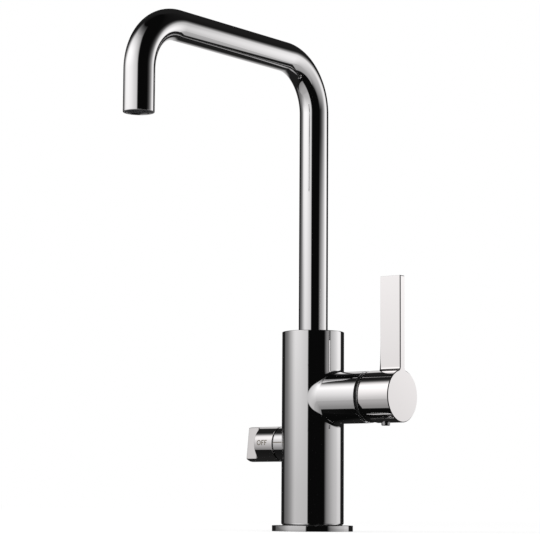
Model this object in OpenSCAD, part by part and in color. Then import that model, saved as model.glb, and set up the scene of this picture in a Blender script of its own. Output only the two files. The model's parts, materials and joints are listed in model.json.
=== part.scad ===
// Single-lever kitchen tap with a swivelling square spout and a dishwasher valve
// Origin at the centre of the base flange's underside, +Z up, spout along -Y,
// lever barrel along +X, dishwasher valve along -X, all sizes in millimetres

/* [Column] */
// Diameter of the column
column_d = 51; // [50:0.5:56]
// Height of the column's top above the deck
column_top = 163; // [156:1:180]
// Chamfer on the column's top and bottom edges
column_edge = 0.8; // [0.3:0.1:1.5]
// Height at which the solid upper part of the column begins
block_floor = 50; // [42:1:50]
// Wall of the column's hollow foot
foot_wall = 3.5; // [2.5:0.5:5]

/* [Base] */
// Diameter of the base flange
flange_d = 66; // [62:1:72]
// Thickness of the base flange
flange_t = 5; // [4:0.5:8]
// Height of the flange's spigot inside the column
spigot_h = 12; // [8:1:16]
// Radius of the opening that the supply hoses pass through
hose_pass_r = 12; // [12:0.25:12.5]
// Distance of the hose opening from the column's axis, towards the spout
hose_pass_y = 4.5; // [4:0.25:5]
// Distance of the fixing stud from the column's axis, away from the spout
stud_y = 12.5; // [12.5:0.25:13.5]
// Radius of the tapped hole for the fixing stud
stud_hole_r = 3.4; // [2.5:0.1:3.4]
// Outer diameter of the deck gasket
gasket_d = 60; // [57:1:61]
// Width of the deck gasket's band
gasket_w = 4; // [3:0.5:5]
// Thickness of the deck gasket
gasket_t = 1.5; // [1:0.25:2]

/* [Water ways] */
// Distance of each hose inlet from the centre of the hose opening
inlet_pitch_r = 6.7; // [6.7:0.05:6.9]
// Radius of the tapped hole of a hose inlet
inlet_r = 4.5; // [4:0.1:4.5]
// Depth of the tapped hole of a hose inlet
inlet_depth = 10; // [8:0.5:11]
// Radius of the drilled supply ways
way_r = 3; // [2.5:0.25:3.25]
// Radius of the way from the cartridge to the spout
outlet_way_r = 4; // [3:0.25:4.5]

/* [Lever barrel] */
// Height of the lever barrel's axis
barrel_z = 108; // [106:1:110]
// Wall of the barrel round the cartridge
barrel_wall = 3.5; // [3:0.1:4.5]
// Wall of the barrel round the clamp nut
thread_wall = 2; // [1.5:0.1:2.2]
// Length of the clamp nut's thread
nut_thread_l = 8.7; // [7:0.1:10]
// Chamfer on the barrel's end
barrel_edge = 0.4; // [0.2:0.1:0.6]
// Distance of the cartridge's seat from the column's axis
cartridge_seat = 11; // [10:0.5:12]

/* [Cartridge] */
// Diameter of the cartridge housing
cartridge_d = 35; // [34:0.25:37]
// Wall of the cartridge housing
housing_wall = 2; // [1.5:0.1:2.2]
// Length of the cartridge, without its lever
cartridge_l = 36; // [34:0.25:40]
// Thickness of the cartridge's base
cartridge_base_t = 6; // [5.5:0.25:6]
// Thickness of one ceramic disc
disc_t = 3.5; // [3:0.25:3.5]
// Gap between the fixed ceramic disc and the housing
fixed_disc_gap = 0.5; // [0.2:0.1:0.8]
// Gap between the moving ceramic disc and the housing at the ends of its travel
moving_disc_gap = 1.1; // [0.4:0.1:1.6]
// Ledge of the housing that holds the turning guide down
guide_ledge = 3.5; // [2.5:0.25:4]
// Depth of the lever's pivot below the housing's end
pivot_depth = 5; // [4.5:0.25:6]
// Distance from the lever's pivot to the ball that moves the disc
drive_arm = 10; // [9.5:0.25:10]
// Radius of the lever's pivot pin
pin_r = 2; // [1.5:0.1:2.2]
// Width of the square lever stem
stem_w = 8; // [7:0.25:8.5]
// Width of the disc carrier
carrier_w = 17; // [15:0.5:18]
// Height of the disc carrier
carrier_h = 18; // [15:0.5:18.5]
// Radius of the ball at the stem's inner end
ball_r = 2.8; // [2.5:0.1:3]
// Furthest outward tilt of the lever, in degrees
tilt_max = 25; // [20:1:25]

/* [Clamp ring] */
// Lip of the clamp nut's hole outside the turning guide
nut_lip = 3; // [2.6:0.1:3.5]
// Width of the dark gap between barrel and dome ring
groove_w = 2.8; // [2.4:0.1:3.2]
// Depth of the dark gap
groove_depth = 1.4; // [1:0.1:1.8]
// Length of the dome ring along the barrel
dome_l = 4; // [3.5:0.1:4.2]

/* [Lever] */
// Length of the dome ring that shows behind the hub
hub_gap = 1.7; // [1.4:0.1:2.2]
// Length of the hub, from its rear rim to its flat end
hub_l = 28.8; // [26:0.1:34]
// Chamfer round the hub's flat end
hub_edge = 0.5; // [0.3:0.1:0.8]
// Width of the lever blade
blade_w = 19.3; // [16:0.5:20]
// Thickness of the lever blade
blade_t = 6.5; // [5:0.25:8]
// Height of the blade's top above the barrel's axis
blade_h = 96.5; // [70:0.5:120]
// Length that the scoop takes off the hub's underside
scoop_l = 5.2; // [4:0.1:6]
// Radius of the fillet where the blade meets the hub
blade_fillet = 3; // [1:0.25:4]
// Distance of the lever's clamp screw from the hub's flat end
screw_inset = 16.4; // [14:0.1:17]
// Distance of the lever stem's end from the hub's flat end
stem_inset = 7; // [5:0.5:9]
// Radius of the lever's clamp screw
screw_r = 3.5; // [3:0.1:3.5]
// How far the clamp screw stands out below the hub
screw_proud = 2.2; // [1:0.1:3]
// Width across the flats of the clamp screw's hexagon socket
screw_hex = 3; // [2.5:0.5:4]

/* [Spout] */
// Outer diameter of the spout tube
tube_d = 24; // [22:0.5:24.5]
// Wall of the spout tube
tube_wall = 1.25; // [1:0.05:1.5]
// Height of the spout's level run, to its centreline
spout_h = 387; // [340:1:440]
// Reach of the spout from the column's axis to the outlet's axis
spout_reach = 219; // [180:1:240]
// Radius of the spout's two bends, to the centreline
bend_r = 42; // [36:1:60]
// Length of the straight drop from the spout's bend to its tip
drop_l = 32.5; // [20:0.5:80]
// Chamfer on the spout's tip
tip_edge = 0.4; // [0.2:0.1:0.5]
// Furthest turn of the spout to each side, in degrees
swivel_max = 60; // [40:1:70]

/* [Spout seat] */
// Thickness of the spout's tail between the tube and its socket
tail_t = 2.5; // [2.25:0.05:3]
// Wall between the socket's floor and the cartridge
floor_wall = 2.5; // [2:0.25:4]
// Gap between the spout's tail and its socket
tail_gap = 0.3; // [0.2:0.05:0.4]
// Height of one glide ring
glide_h = 4; // [3:0.5:5]
// Thickness of the washer that the spout stands on
thrust_t = 1; // [0.8:0.1:1.5]
// Radius of the section of the spout's sealing rings
ring_section_r = 0.9; // [0.8:0.05:1]
// Radius of the spout's stop screw
stop_screw_r = 2.5; // [2:0.25:3]
// Depth of the stop screw below the column's top
stop_screw_depth = 10; // [9:0.5:12]
// Distance between the spout's two sealing rings
seal_pitch = 5; // [4:0.25:5.5]

/* [Aerator] */
// Wall of the aerator's housing
aerator_wall = 1.4; // [1:0.1:1.8]
// Length of the aerator's housing
aerator_l = 11; // [10:0.5:14]
// How far the aerator lies inside the spout's tip
aerator_inset = 0.6; // [0.3:0.1:2]
// Distance between the cells of the honeycomb
cell_pitch = 2.5; // [2.4:0.1:3]
// Wall between two cells of the honeycomb
cell_wall = 0.5; // [0.4:0.05:0.7]
// Depth of the honeycomb
comb_t = 4; // [3:0.5:5]

/* [Dishwasher valve] */
// Height of the valve's axis
valve_z = 71.5; // [70.5:0.5:72.5]
// Diameter of the valve's collar and knob
valve_d = 29; // [28:0.5:30]
// Length of the collar outside the column
collar_l = 4.7; // [4:0.1:8]
// Wall of the collar
collar_wall = 4.2; // [3.5:0.1:4.5]
// Gap between the collar and the knob
knob_gap = 1.3; // [0.8:0.1:1.6]
// Length of the knob
knob_l = 31.5; // [30:0.5:36]
// Length of the knob's flat grip
grip_l = 13; // [9:0.5:14]
// Thickness of the knob's flat grip
grip_t = 13; // [11:0.5:15]
// Radius between the grip's flats and their shoulders
grip_fillet = 3; // [1:0.5:4]
// Wall of the knob
knob_wall = 2; // [1.5:0.25:2.5]
// Turn of the knob's grip and marks from upright, in degrees
index_angle = 7; // [0:1:12]
// Wall of the valve's headwork round its discs
headwork_wall = 2.15; // [1.8:0.05:2.4]
// Distance from the column's axis to the valve's seat
valve_seat = 11; // [10.75:0.25:11.5]
// Thickness of one ceramic disc of the valve
valve_disc_t = 2.6; // [2.2:0.1:3]
// Radius of the valve's spindle
spindle_r = 4; // [3.5:0.1:4.2]

/* [Clearances] */
// Radial clearance of a running fit
run_gap = 0.06; // [0.03:0.01:0.09]
// Clearance between pieces that pass each other
free_gap = 0.35; // [0.25:0.05:0.5]
// Clearance between two lapped faces
film_gap = 0.05; // [0.02:0.01:0.08]

/* [Hidden] */
$fn = 96;

// Overrun of a cut past the face that it opens
cut = 1;
column_r = column_d / 2;
tube_r = tube_d / 2;
tube_bore_r = tube_r - tube_wall;
valve_r = valve_d / 2;
foot_r = column_r - foot_wall;
spigot_clear = 0.1;
gasket_r = gasket_d / 2;

// Stations of the cartridge along the barrel
housing_r = cartridge_d / 2;
housing_bore_r = housing_r - housing_wall;
base_rim = 2;
base_end = cartridge_seat + cartridge_base_t;
fixed_end = base_end + disc_t;
moving_start = fixed_end + film_gap;
moving_end = moving_start + disc_t;
carrier_t = 5.2;
cartridge_end = cartridge_seat + cartridge_l;
guide_r = housing_bore_r - guide_ledge;
guide_flange_r = housing_bore_r - run_gap;
guide_flange_t = 2.5;
guide_start = moving_end + carrier_t + free_gap;
neck_start = guide_start + guide_flange_t + film_gap;
guide_end = cartridge_end + 2;
pivot_x = cartridge_end - pivot_depth;
ball_x = pivot_x - drive_arm;
disc_travel = drive_arm * tilt_max * PI / 180;
disc_rest_z = -disc_travel / 2;
fixed_disc_r = housing_bore_r - fixed_disc_gap;
moving_disc_r = housing_bore_r - disc_travel / 2 - moving_disc_gap;
slot_half_w = stem_w / 2 + free_gap;

// Barrel, clamp nut and dome ring
barrel_r = housing_r + barrel_wall;
barrel_end = cartridge_end + nut_thread_l;
nut_r = barrel_r - thread_wall;
nut_hole_r = guide_r + nut_lip;
nut_sleeve_r = nut_hole_r + 2;
groove_end = barrel_end + groove_w;
dome_rim_r = barrel_r - 0.2;
dome_r = norm([dome_rim_r, groove_end - pivot_x]);
dome_end = groove_end + dome_l;
dome_land = 0.6;
dome_lip = 1;

// Lever's hub, its hollow and its clamp screw
hub_r = barrel_r;
hub_rear = groove_end + hub_gap;
hub_end = hub_rear + hub_l;
screw_x = hub_end - screw_inset;
stem_end = hub_end - stem_inset;
hub_hollow_r = dome_r + 0.5;
hub_hollow_end = screw_x - screw_r - 0.9;

// Water ways inside the column
hot_xy = [inlet_pitch_r * cos(30), -hose_pass_y - inlet_pitch_r * sin(30)];
cold_xy = [-hot_xy[0], hot_xy[1]];
drain_xy = [0, inlet_pitch_r - hose_pass_y];
hot_port_drop = 6.5;
cold_port_rise = 5.5;
hot_port_z = barrel_z - hot_port_drop;
cold_port_z = barrel_z + cold_port_rise;
outlet_xy = [2, 8];
// Step in radius where two drilled ways meet at a right angle
bore_step = 0.2;
// Chamber between the cold riser and the dishwasher valve
feed_r = 6;
// Way back from the dishwasher valve to its outlet
drain_way_r = 2;
drain_x = valve_seat + 3.5;
drain_z = block_floor + inlet_depth / 2;

// Spout and its seat
spout_foot_t = 2;
socket_r = tube_r + tail_t;
socket_floor = barrel_z + housing_r + floor_wall;
socket_top = column_top - glide_h;
tail_r = socket_r - tail_gap;
tail_floor = socket_floor + thrust_t + film_gap;
tail_top = socket_top - free_gap;
glide_seat_r = tube_r + 0.8;
outlet_clear_r = tube_bore_r + 1;
seal_r = socket_r - run_gap;
seal_half = ring_section_r + 0.15;
lower_seal_z = tail_floor + glide_h + seal_half + 2;
stop_z = column_top - stop_screw_depth;
stop_groove_r = tube_r + 0.9;
riser_top = spout_h - bend_r;
drop_y = spout_reach - bend_r;
tip_z = riser_top - drop_l;

// Aerator
aerator_r = tube_bore_r - film_gap;
aerator_z = tip_z + aerator_inset;
comb_r = aerator_r - aerator_wall;
aerator_throat_r = comb_r - 1;
comb_z = aerator_z + 0.3;
strainer_z = comb_z + comb_t;
strainer_t = 2;
seal_t = 1.5;

// Valve stations, as distances from the column's axis
collar_end = column_r + collar_l;
knob_start = collar_end + knob_gap;
knob_end = knob_start + knob_l;
grip_start = knob_end - grip_l;
collar_lip = 1;
headwork_clear = 0.3;
headwork_end = collar_end - collar_lip;
headwork_r = valve_r - collar_wall - headwork_clear;
headwork_bore_r = headwork_r - headwork_wall;
valve_disc_r = headwork_bore_r - free_gap;
valve_seal_t = 1.5;
valve_fixed_start = valve_seat + valve_seal_t;
valve_moving_start = valve_fixed_start + valve_disc_t + film_gap;
valve_drive_start = valve_moving_start + valve_disc_t;
spindle_flange_t = 2;
spindle_end = grip_start - 3;
bush_r = spindle_r + 2.2;
bush_end = spindle_end + 0.5;

// Turns a shape drawn along +Z so that it lies along +X at the barrel's height
module on_barrel() {
    translate([0, 0, barrel_z])
        rotate([0, 90, 0])
            children();
}

// Turns a shape drawn along +Z so that it lies along -X at the valve's height
module on_valve() {
    translate([0, 0, valve_z])
        rotate([0, -90, 0])
            children();
}

// Solid of revolution from a list of [radius, height] corners
module turned(corners, turn = 360) {
    rotate_extrude(angle = turn)
        polygon(corners);
}

// Plain ring between two radii, from one height to another
module ring(outer, inner, from, to) {
    turned([[inner, from], [outer, from], [outer, to], [inner, to]]);
}

// Round bar between two heights
module bar(radius, from, to) {
    translate([0, 0, from])
        cylinder(r = radius, h = to - from);
}

// Sealing ring of round section
module seal_ring(outer, section) {
    rotate_extrude()
        translate([outer - section, 0])
            circle(r = section, $fn = 32);
}

module base_flange() {
    color("silver")
    difference() {
        union() {
            bar(flange_d / 2, 0, flange_t);
            bar(foot_r - spigot_clear, flange_t, flange_t + spigot_h);
        }
        translate([0, -hose_pass_y])
            bar(hose_pass_r, -cut, flange_t + spigot_h + cut);
        translate([0, stud_y])
            bar(stud_hole_r, -cut, flange_t + spigot_h + cut);
        ring(gasket_r, gasket_r - gasket_w, -cut, gasket_t);
    }
}

module deck_gasket() {
    color("black")
        ring(gasket_r - film_gap, gasket_r - gasket_w + film_gap, 0, gasket_t);
}

// Outline of the column, with its edges chamfered and its foot hollow
module column_blank() {
    turned([
        [foot_r, flange_t],
        [column_r - column_edge, flange_t],
        [column_r, flange_t + column_edge],
        [column_r, column_top - column_edge],
        [column_r - column_edge, column_top],
        [0, column_top],
        [0, block_floor],
        [foot_r, block_floor]
    ]);
}

// Tapped inlet with its way up through the column
module supply(xy, way_top) {
    translate(xy) {
        bar(inlet_r, block_floor - cut, block_floor + inlet_depth);
        bar(way_r, block_floor, way_top);
    }
}

// Way from the head of a riser to its port in the cartridge's seat
module port(xy, height, riser_r) {
    radius = riser_r + bore_step;
    start = xy[0] - radius - bore_step;
    translate([start, xy[1], height])
        rotate([0, 90, 0])
            cylinder(r = radius, h = cartridge_seat - start + cut);
}

module column_body() {
    color("silver")
    difference() {
        union() {
            column_blank();
            on_barrel()
                turned([
                    [0, 0],
                    [barrel_r, 0],
                    [barrel_r, barrel_end - barrel_edge],
                    [barrel_r - barrel_edge, barrel_end],
                    [0, barrel_end]
                ]);
        }
        on_barrel() {
            bar(housing_r + film_gap, cartridge_seat, cartridge_end + cut);
            bar(nut_r + film_gap, cartridge_end, barrel_end + cut);
        }
        bar(socket_r, socket_floor, column_top + cut);
        supply(hot_xy, hot_port_z);
        supply(cold_xy, cold_port_z);
        translate(drain_xy)
            bar(inlet_r, block_floor - cut, block_floor + inlet_depth);
        port(hot_xy, hot_port_z, way_r);
        port(cold_xy, cold_port_z, way_r);
        port(outlet_xy, barrel_z, outlet_way_r);
        translate([outlet_xy[0], outlet_xy[1]])
            bar(outlet_way_r, barrel_z, socket_floor + cut);
        on_valve() {
            bar(headwork_r + film_gap, valve_seat, column_r + cut);
            bar(feed_r, -cold_xy[0] - way_r / 2, valve_seat + cut);
        }
        translate([-drain_x, drain_xy[1], drain_z])
            bar(drain_way_r, 0, valve_z - headwork_r - drain_z + cut);
        translate([-drain_x - drain_way_r - 1, drain_xy[1], drain_z])
            rotate([0, 90, 0])
                cylinder(r = drain_way_r + bore_step, h = drain_x + drain_way_r + 1);
        translate([0, column_r + cut, stop_z])
            rotate([90, 0, 0])
                bar(stop_screw_r + film_gap, 0, column_r - socket_r + 2 * cut);
    }
}

// Places of the cartridge's three ports, as [across, up] from the barrel's axis
port_spots = [
    [hot_xy[1], -hot_port_drop],
    [cold_xy[1], cold_port_rise],
    [outlet_xy[1], 0]
];
port_seal_r = 5.2;
port_seal_t = 1.5;

// Puts its children at each port, drawn along +Z in the barrel's frame
module at_ports() {
    for (spot = port_spots)
        translate([-spot[1], spot[0], 0])
            children();
}

module cartridge_seals() {
    color("black")
    on_barrel()
        at_ports()
            ring(port_seal_r, way_r + 0.6, cartridge_seat, cartridge_seat + port_seal_t);
}

module cartridge_base() {
    color("white")
    on_barrel()
    difference() {
        turned([
            [0, cartridge_seat],
            [housing_r, cartridge_seat],
            [housing_r, cartridge_seat + base_rim],
            [housing_bore_r - film_gap, cartridge_seat + base_rim],
            [housing_bore_r - film_gap, base_end],
            [0, base_end]
        ]);
        at_ports() {
            bar(way_r, cartridge_seat - cut, base_end + cut);
            bar(port_seal_r + film_gap, cartridge_seat - cut, cartridge_seat + port_seal_t);
        }
    }
}

module fixed_disc() {
    color("ivory")
    on_barrel()
    difference() {
        bar(fixed_disc_r, base_end, fixed_end);
        at_ports()
            bar(way_r, base_end - cut, fixed_end + cut);
    }
}

module cartridge_housing() {
    start = cartridge_seat + base_rim;
    shoulder = 2;
    key = [1.2, 6, 12];
    color("white")
    on_barrel()
    difference() {
        turned([
            [housing_bore_r, start],
            [housing_r, start],
            [housing_r, cartridge_end - shoulder],
            [housing_r - shoulder / 2, cartridge_end],
            [guide_r + run_gap, cartridge_end],
            [guide_r + run_gap, neck_start],
            [housing_bore_r, neck_start]
        ]);
        for (side = [0, 180])
            rotate([0, 0, side])
                translate([housing_r, 0, start + base_rim + key[2] / 2])
                    cube(key, center = true);
    }
}

module clamp_nut() {
    edge = 0.5;
    slot = [2.4, 3, 4];
    color("goldenrod")
    on_barrel()
    difference() {
        turned([
            [nut_hole_r, cartridge_end],
            [nut_r - edge, cartridge_end],
            [nut_r, cartridge_end + edge],
            [nut_r, barrel_end],
            [nut_r - groove_depth, barrel_end],
            [nut_r - groove_depth, groove_end],
            [nut_sleeve_r, groove_end],
            [nut_sleeve_r, dome_end - dome_lip],
            [nut_hole_r, dome_end - dome_lip]
        ]);
        for (turn = [0 : 60 : 300])
            rotate([0, 0, turn])
                translate([nut_hole_r, 0, dome_end - dome_lip])
                    cube(slot, center = true);
    }
}

module spacer_ring() {
    color("black")
    on_barrel()
        ring(barrel_r - groove_depth, nut_r - groove_depth, barrel_end, groove_end);
}

module dome_ring() {
    color("silver")
    on_barrel()
    difference() {
        intersection() {
            union() {
                bar(dome_rim_r, groove_end, groove_end + dome_land);
                translate([0, 0, pivot_x])
                    sphere(r = dome_r);
            }
            bar(barrel_r, groove_end, dome_end);
        }
        bar(nut_sleeve_r, groove_end - cut, dome_end - dome_lip);
        bar(nut_hole_r, groove_end - cut, dome_end + cut);
    }
}

// Slot in the turning guide that lets the stem tilt: the stem dips outside the
// pivot and its ball rises inside it
module stem_slot() {
    dip = (guide_end - pivot_x) * tan(tilt_max) + slot_half_w / cos(tilt_max);
    rise = drive_arm * sin(tilt_max) + ball_r + 1.2;
    inner_l = pivot_x - guide_start + stem_w * sin(tilt_max);
    start = guide_start - cut;
    translate([start, -slot_half_w, barrel_z - dip])
        cube([guide_end + cut - start, 2 * slot_half_w, dip + slot_half_w]);
    translate([start, -slot_half_w, barrel_z])
        cube([inner_l + cut, 2 * slot_half_w, rise]);
}

module turning_guide() {
    lug = [carrier_t + cut, 2.6, 0.78 * carrier_h];
    lug_y = carrier_w / 2 + free_gap;
    color("gray")
    difference() {
        union() {
            on_barrel()
                turned([
                    [0, guide_start],
                    [guide_flange_r, guide_start],
                    [guide_flange_r, guide_start + guide_flange_t],
                    [guide_r, guide_start + guide_flange_t],
                    [guide_r, guide_end],
                    [0, guide_end]
                ]);
            for (side = [0, 1])
                mirror([0, side, 0])
                    translate([moving_end + free_gap, lug_y, barrel_z - lug[2] / 2])
                        cube(lug);
        }
        stem_slot();
        translate([pivot_x, 0, barrel_z])
            rotate([90, 0, 0])
                bar(pin_r, -guide_r - cut, guide_r + cut);
    }
}

module pivot_pin() {
    color("lightgray")
    translate([pivot_x, 0, barrel_z])
        rotate([90, 0, 0])
            bar(pin_r, -guide_r + 0.4, guide_r - 0.4);
}

module moving_disc() {
    pool_r = moving_disc_r - 3.4;
    pool_depth = 1.6;
    pool_w = 11;
    color("ivory")
    translate([0, 0, disc_rest_z])
        on_barrel()
        difference() {
            bar(moving_disc_r, moving_start, moving_end);
            translate([0, 0, moving_start - cut])
                linear_extrude(cut + pool_depth)
                    intersection() {
                        circle(r = pool_r);
                        square([pool_w, 2 * moving_disc_r], center = true);
                    }
        }
}

module disc_carrier() {
    pocket_half = ball_r + free_gap;
    pocket_floor = 1;
    color("darkgray")
    difference() {
        translate([moving_end, -carrier_w / 2, barrel_z + disc_rest_z - carrier_h / 2])
            cube([carrier_t, carrier_w, carrier_h]);
        translate([moving_end + pocket_floor, -pocket_half, barrel_z - pocket_half])
            cube([carrier_t, 2 * pocket_half, 2 * pocket_half]);
    }
}

module lever_stem() {
    neck_r = 2.2;
    shoulder_l = 5;
    dimple_r = screw_r - 1.8;
    shoulder_x = pivot_x - shoulder_l;
    color("lightgray")
    difference() {
        union() {
            translate([shoulder_x, -stem_w / 2, barrel_z - stem_w / 2])
                cube([stem_end - shoulder_x, stem_w, stem_w]);
            on_barrel() {
                bar(neck_r, ball_x, shoulder_x + cut);
                translate([0, 0, ball_x])
                    sphere(r = ball_r);
            }
        }
        translate([pivot_x, 0, barrel_z])
            rotate([90, 0, 0])
                bar(pin_r + run_gap, -stem_w, stem_w);
        translate([screw_x, 0, barrel_z - stem_w / 2 - cut])
            cylinder(r1 = screw_r, r2 = dimple_r, h = cut + 1);
    }
}

// Outline of the hub's rear edge from the side: slanting below the axis, then
// scooped away underneath, where the hub dips as the lever is pulled
module rear_scoop() {
    slant_top = 0.24 * hub_r;
    slant_foot = [hub_rear + 0.35 * scoop_l, -0.4 * hub_r];
    scoop_top = [hub_rear + 0.87 * scoop_l, -0.68 * hub_r];
    bend = (slant_foot + scoop_top) / 2 + [0.06, -0.11] * scoop_l;
    scoop_foot = [hub_rear + scoop_l, -hub_r - cut];
    rear = groove_end - barrel_wall;
    translate([0, hub_r + cut, barrel_z])
        rotate([90, 0, 0])
            linear_extrude(2 * (hub_r + cut))
                polygon([
                    [rear, slant_top],
                    [hub_rear, slant_top],
                    slant_foot,
                    bend,
                    scoop_top,
                    scoop_foot,
                    [rear, scoop_foot[1]]
                ]);
}

// Blade's outline from the lever's end, with fillets down to the hub
module blade_outline() {
    half = blade_t / 2;
    fillet_y = half + blade_fillet;
    fillet_z = sqrt(pow(hub_r + blade_fillet, 2) - pow(fillet_y, 2));
    fillet_foot = fillet_y * hub_r / (hub_r + blade_fillet);
    translate([-half, 0])
        square([blade_t, blade_h]);
    difference() {
        translate([-fillet_foot, 0])
            square([2 * fillet_foot, fillet_z]);
        for (side = [-1, 1])
            translate([side * fillet_y, fillet_z])
                circle(r = blade_fillet);
    }
}

module lever_handle() {
    seat_half = stem_w / 2 + film_gap;
    color("silver")
    difference() {
        union() {
            on_barrel()
                turned([
                    [0, hub_rear],
                    [hub_r, hub_rear],
                    [hub_r, hub_end - hub_edge],
                    [hub_r - hub_edge, hub_end],
                    [0, hub_end]
                ]);
            translate([hub_end - blade_w, 0, barrel_z])
                rotate([90, 0, 90])
                    linear_extrude(blade_w)
                        blade_outline();
        }
        on_barrel()
            rotate_extrude()
                intersection() {
                    translate([0, pivot_x])
                        circle(r = hub_hollow_r);
                    translate([0, hub_rear - cut])
                        square([hub_hollow_r, hub_hollow_end - hub_rear + cut]);
                }
        translate([hub_hollow_end - cut, -seat_half, barrel_z - seat_half])
            cube([stem_end + 0.5 - hub_hollow_end + cut, 2 * seat_half, 2 * seat_half]);
        rear_scoop();
        translate([screw_x, 0, barrel_z - hub_r - cut])
            bar(screw_r + film_gap, 0, hub_r + cut - seat_half + 0.1);
    }
}

module lever_screw() {
    edge = 0.5;
    point_l = 1;
    socket_depth = 4;
    foot_z = -hub_r - screw_proud;
    point_z = -stem_w / 2 + 0.4;
    color("dimgray")
    translate([screw_x, 0, barrel_z])
    difference() {
        turned([
            [0, foot_z],
            [screw_r - edge, foot_z],
            [screw_r, foot_z + edge],
            [screw_r, point_z - point_l],
            [screw_r - 1.6, point_z],
            [0, point_z]
        ]);
        translate([0, 0, foot_z - cut])
            cylinder(r = screw_hex / sqrt(3), h = socket_depth + cut, $fn = 6);
    }
}

module thrust_washer() {
    color("white")
        ring(socket_r - film_gap, outlet_clear_r, socket_floor, socket_floor + thrust_t);
}

module upper_glide_ring() {
    inset = 0.3;
    color("black")
        ring(socket_r - film_gap, tube_r + run_gap, socket_top, column_top - inset);
}

module stop_screw() {
    edge = 0.4;
    hex_w = 2.5;
    head_y = column_r - 1;
    tip_y = stop_groove_r + 0.3;
    color("dimgray")
    translate([0, 0, stop_z])
        rotate([-90, 0, 0])
        difference() {
            turned([
                [0, tip_y],
                [stop_screw_r - edge, tip_y],
                [stop_screw_r, tip_y + edge],
                [stop_screw_r, head_y],
                [0, head_y]
            ]);
            translate([0, 0, head_y - hex_w])
                cylinder(r = hex_w / sqrt(3), h = hex_w + cut, $fn = 6);
        }
}

// Tube or bar along the spout's centreline, from one height to another
module spout_run(radius, from, to) {
    bar(radius, from, riser_top);
    translate([0, -bend_r, riser_top])
        rotate([90, 0, 90])
            rotate_extrude(angle = 90)
                translate([bend_r, 0])
                    circle(r = radius);
    translate([0, -bend_r, spout_h])
        rotate([90, 0, 0])
            cylinder(r = radius, h = drop_y - bend_r);
    translate([0, -drop_y, riser_top])
        rotate([90, 0, 90])
            rotate([0, 0, 90])
                rotate_extrude(angle = 90)
                    translate([bend_r, 0])
                        circle(r = radius);
    translate([0, -spout_reach, 0])
        bar(radius, to, riser_top);
}

module spout_tube() {
    color("silver")
    difference() {
        spout_run(tube_r, tail_floor + spout_foot_t, tip_z);
        spout_run(tube_bore_r, tail_floor + spout_foot_t - cut, tip_z - cut);
        translate([0, -spout_reach, tip_z])
            turned([
                [tube_r - tip_edge, -cut],
                [tube_r + cut, -cut],
                [tube_r + cut, tip_edge + cut],
                [tube_r - tip_edge, 0]
            ]);
    }
}

// Places of the spout's two sealing rings
spout_seal_spots = [lower_seal_z, lower_seal_z + seal_pitch];

module spout_tail() {
    stop_half = stop_screw_r + free_gap;
    stop_turn = 2 * (swivel_max + asin(stop_screw_r / stop_groove_r) + 2);
    color("goldenrod")
    difference() {
        turned([
            [tube_bore_r, tail_floor],
            [tail_r, tail_floor],
            [tail_r, tail_top],
            [tube_r, tail_top],
            [tube_r, tail_floor + spout_foot_t],
            [tube_bore_r, tail_floor + spout_foot_t]
        ]);
        for (spot = spout_seal_spots)
            ring(socket_r + cut, seal_r - 2 * ring_section_r, spot - seal_half, spot + seal_half);
        ring(socket_r + cut, glide_seat_r, tail_floor - cut, tail_floor + glide_h);
        rotate([0, 0, 90 - stop_turn / 2])
            turned([
                [stop_groove_r, stop_z - stop_half],
                [socket_r + cut, stop_z - stop_half],
                [socket_r + cut, stop_z + stop_half],
                [stop_groove_r, stop_z + stop_half]
            ], stop_turn);
    }
}

module lower_glide_ring() {
    color("white")
        ring(seal_r, glide_seat_r, tail_floor, tail_floor + glide_h);
}

module spout_seals() {
    color("black")
    for (spot = spout_seal_spots)
        translate([0, 0, spot])
            seal_ring(seal_r, ring_section_r);
}

// Moves its children to the axis of the spout's outlet
module at_outlet() {
    translate([0, -spout_reach, 0])
        children();
}

module aerator_housing() {
    key_slot = [2, 2.4, 3];
    color("dimgray")
    at_outlet()
    difference() {
        bar(aerator_r, aerator_z, aerator_z + aerator_l);
        bar(comb_r, aerator_z - cut, strainer_z + strainer_t);
        bar(aerator_throat_r, aerator_z - cut, aerator_z + aerator_l + cut);
        for (turn = [0 : 90 : 270])
            rotate([0, 0, turn])
                translate([aerator_r, 0, aerator_z])
                    cube(key_slot, center = true);
    }
}

module aerator_honeycomb() {
    span = comb_r - film_gap;
    hole_r = (cell_pitch - cell_wall) / sqrt(3);
    rows = ceil(span / (cell_pitch * sin(60)));
    color("gray")
    at_outlet()
    difference() {
        bar(span, comb_z, strainer_z);
        for (row = [-rows : rows], column = [-rows : rows]) {
            spot = [cell_pitch * (column + (row % 2 == 0 ? 0 : 0.5)), cell_pitch * sin(60) * row];
            if (norm(spot) + hole_r < span - 0.4)
                translate([spot[0], spot[1], comb_z - cut])
                    rotate([0, 0, 30])
                        cylinder(r = hole_r, h = comb_t + 2 * cut, $fn = 6);
        }
    }
}

module aerator_strainer() {
    hole_r = 0.9;
    row_pitch = 0.31 * comb_r;
    color("white")
    at_outlet()
    difference() {
        bar(comb_r - film_gap, strainer_z, strainer_z + strainer_t);
        for (count = [0 : 2], step = [0 : 6 * count])
            if (step < max(1, 6 * count))
                rotate([0, 0, step * 360 / max(1, 6 * count)])
                    translate([row_pitch * count, 0, 0])
                        bar(hole_r, strainer_z - cut, strainer_z + strainer_t + cut);
    }
}

module aerator_seal() {
    color("black")
    at_outlet()
        ring(aerator_r, aerator_throat_r, aerator_z + aerator_l, aerator_z + aerator_l + seal_t);
}

module valve_collar() {
    color("silver")
    difference() {
        on_valve()
        difference() {
            bar(valve_r, 0, collar_end);
            bar(headwork_r + headwork_clear, -cut, headwork_end);
            bar(bush_r + 1, -cut, collar_end + cut);
        }
        bar(column_r + film_gap, valve_z - valve_d, valve_z + valve_d);
    }
}

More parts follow.
